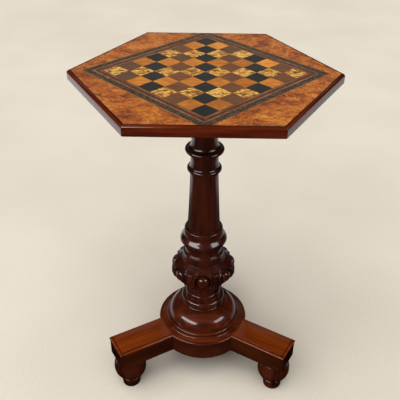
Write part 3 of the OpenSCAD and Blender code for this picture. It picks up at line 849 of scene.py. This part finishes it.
def squares():
    """Sixty-four veneer squares, each with a tone of its own."""
    dice = random.Random(7)
    corner = (PER_SIDE - 1) / 2
    tones = {(i, j): dice.random() for i in range(PER_SIDE) for j in range(PER_SIDE)}
    tones.update(MATCHED_TONES)
    slant = Matrix.Rotation(math.radians(45), 4, "Z")
    for wood, node in WOODS.items():
        shape = bmesh.new()
        tone = shape.faces.layers.float.new("tone")
        for (i, j), value in sorted(tones.items()):
            if wood_of(i, j) != wood:
                continue
            made = bmesh.ops.create_cube(shape, size=1)
            side = (SQUARE - GLUE_LINE) * MM
            centre = Vector(((i - corner) * SQUARE, (j - corner) * SQUARE, 0)) * MM
            centre.z = (BOARD_TOP - VENEER_T / 2) * MM
            size = Matrix.Diagonal((side, side, VENEER_T * MM, 1))
            place = slant @ Matrix.Translation(centre) @ size
            bmesh.ops.transform(shape, matrix=place, verts=made["verts"])
            faces = {f for v in made["verts"] for f in v.link_faces}
            for face in faces:
                face[tone] = value
            rim = {e for f in faces for e in f.edges
                   if all(v.co.z > centre.z for v in e.verts)}
            bmesh.ops.bevel(
                shape, geom=list(rim), offset=ARRIS * MM, offset_type="OFFSET", segments=1,
                profile=0.5, affect="EDGES", clamp_overlap=True, material=-1)
        finish = BROWN_SQUARES if wood == "brown_wood" else FINISHES[wood]
        made_piece("polished_" + node, shape, node, finish)


# ---- Putting it together ----

LEG_ANGLES = {"leg_left": 210, "leg_right": 330, "leg_back": 90}
column()
collar()
dome()
hub()
bulb()
squares()
for node, angle in LEG_ANGLES.items():
    eased(node, mahogany("mahogany_" + node, grain_along(angle), *WARM, leg_painted_shade), 0.5)
    foot(node.replace("leg", "foot"))
for number in range(1, 7):
    grain = grain_along(60 * number + 60)
    wood = mahogany(f"mahogany_edge_{number}", grain, *EDGE, joint_line)
    eased(f"edge_moulding_{number}", wood, 0.5)
for node in ("bearer_left", "bearer_right", "pivot_block"):
    eased(node, FINISHES["hidden_mahogany"], 0.8)
for node, shown in frame["nodes"].items():
    if not shown.hide_render:
        dress(node, FINISHES[SLOT_OF_NODE[node]])


# ---- Floor, lights and camera ----

LIT_POINT = Vector((0, 0, 0.4))

def floor():
    """A plain pale floor."""
    shape = bmesh.new()
    bmesh.ops.create_grid(shape, x_segments=1, y_segments=1, size=6)
    mesh = bpy.data.meshes.new("floor")
    shape.to_mesh(mesh)
    shape.free()
    ground = Finish("pale_floor")
    weave = ground.place.noise(220.0, 3.0)
    drift = ground.place.noise(2.0, 2.0)
    colour = (weave * 0.5 + drift * 0.5).step(0.2, 0.8).ramp(
        (0.0, srgb(216, 205, 188)), (1.0, srgb(234, 225, 210)))
    ground.set(base_color=colour, roughness=0.9, specular_ior_level=0.1)
    mesh.materials.append(ground.material)
    plane = bpy.data.objects.new("floor", mesh)
    bpy.context.scene.collection.objects.link(plane)
    plane.visible_glossy = False
    plane.visible_shadow = False


def aim(lamp, azimuth, elevation):
    """Turns a lamp to shine from a direction, in degrees from the front, and gives that way."""
    a = math.radians(azimuth)
    e = math.radians(elevation)
    away = Vector((math.sin(a) * math.cos(e), -math.cos(a) * math.cos(e), math.sin(e)))
    lamp.rotation_mode = "QUATERNION"
    lamp.rotation_quaternion = away.to_track_quat("Z", "Y")
    return away


def panel(name, azimuth, elevation, distance, size, power, diffuse, glossy):
    """A soft rectangular light that faces the middle of the table. Its direction is in
    degrees, its distance and size in metres and its power in watts."""
    light = bpy.data.lights.new(name, "AREA")
    light.shape = "RECTANGLE"
    light.size = size[0]
    light.size_y = size[1]
    light.energy = power
    lamp = bpy.data.objects.new(name, light)
    lamp.location = LIT_POINT + aim(lamp, azimuth, elevation) * distance
    lamp.visible_diffuse = diffuse
    lamp.visible_glossy = glossy
    bpy.context.scene.collection.objects.link(lamp)


def sky(azimuth, elevation, strength, spread):
    """Even light from a wide part of the ceiling, for surfaces and not for reflections."""
    light = bpy.data.lights.new("ceiling", "SUN")
    light.energy = strength
    light.angle = math.radians(spread)
    lamp = bpy.data.objects.new("ceiling", light)
    aim(lamp, azimuth, elevation)
    lamp.visible_glossy = False
    bpy.context.scene.collection.objects.link(lamp)


def lights():
    """Soft light from the ceiling and the front, and what is seen only in the polish."""
    sky(-25, 70, 3.5, 70)
    panel("fill", -20, 24, 2.6, (1.8, 1.2), 7, True, False)
    panel("left_window", -50, 33, 2.4, (2.2, 0.7), 62, False, True)
    panel("right_window", 62, 33, 2.2, (1.2, 0.6), 22, False, True)
    panel("left_carpet", -128, -18, 2.2, (2.6, 0.9), 8, False, True)
    panel("right_carpet", 128, -18, 2.2, (2.6, 0.9), 5, False, True)
    panel("back_wall", 180, 28, 2.95, (3.4, 0.9), 2.5, False, True)
    world = bpy.data.worlds.new("room")
    world.use_nodes = True
    room = world.node_tree.nodes["Background"]
    room.inputs["Color"].default_value = (1.0, 0.985, 0.96, 1.0)
    room.inputs["Strength"].default_value = 0.9
    world.cycles_visibility.diffuse = False
    world.cycles_visibility.glossy = False
    bpy.context.scene.world = world


def camera():
    """The camera stands in front of the table and above it, turned a little off square."""
    yaw = math.radians(-0.400)
    pitch = math.radians(35.043)
    roll = math.radians(0.645)
    forward = Vector((
        math.sin(yaw) * math.cos(pitch), math.cos(yaw) * math.cos(pitch), -math.sin(pitch)))
    right = Vector((math.cos(yaw), -math.sin(yaw), 0))
    up = right.cross(forward)
    x = right * math.cos(roll) + up * math.sin(roll)
    y = up * math.cos(roll) - right * math.sin(roll)
    eye = Vector((5.07, -1005.01, 1119.46)) * MM
    lens = bpy.data.cameras.new("camera")
    lens.lens = 53.386
    lens.sensor_width = 36
    lens.shift_x = -0.0075
    lens.shift_y = 0.0317
    lens.dof.use_dof = False
    stand = bpy.data.objects.new("camera", lens)
    stand.matrix_world = Matrix.Translation(eye) @ Matrix((x, y, -forward)).transposed().to_4x4()
    bpy.context.scene.collection.objects.link(stand)
    bpy.context.scene.camera = stand


floor()
lights()
camera()
bpy.context.scene.view_settings.view_transform = "Standard"
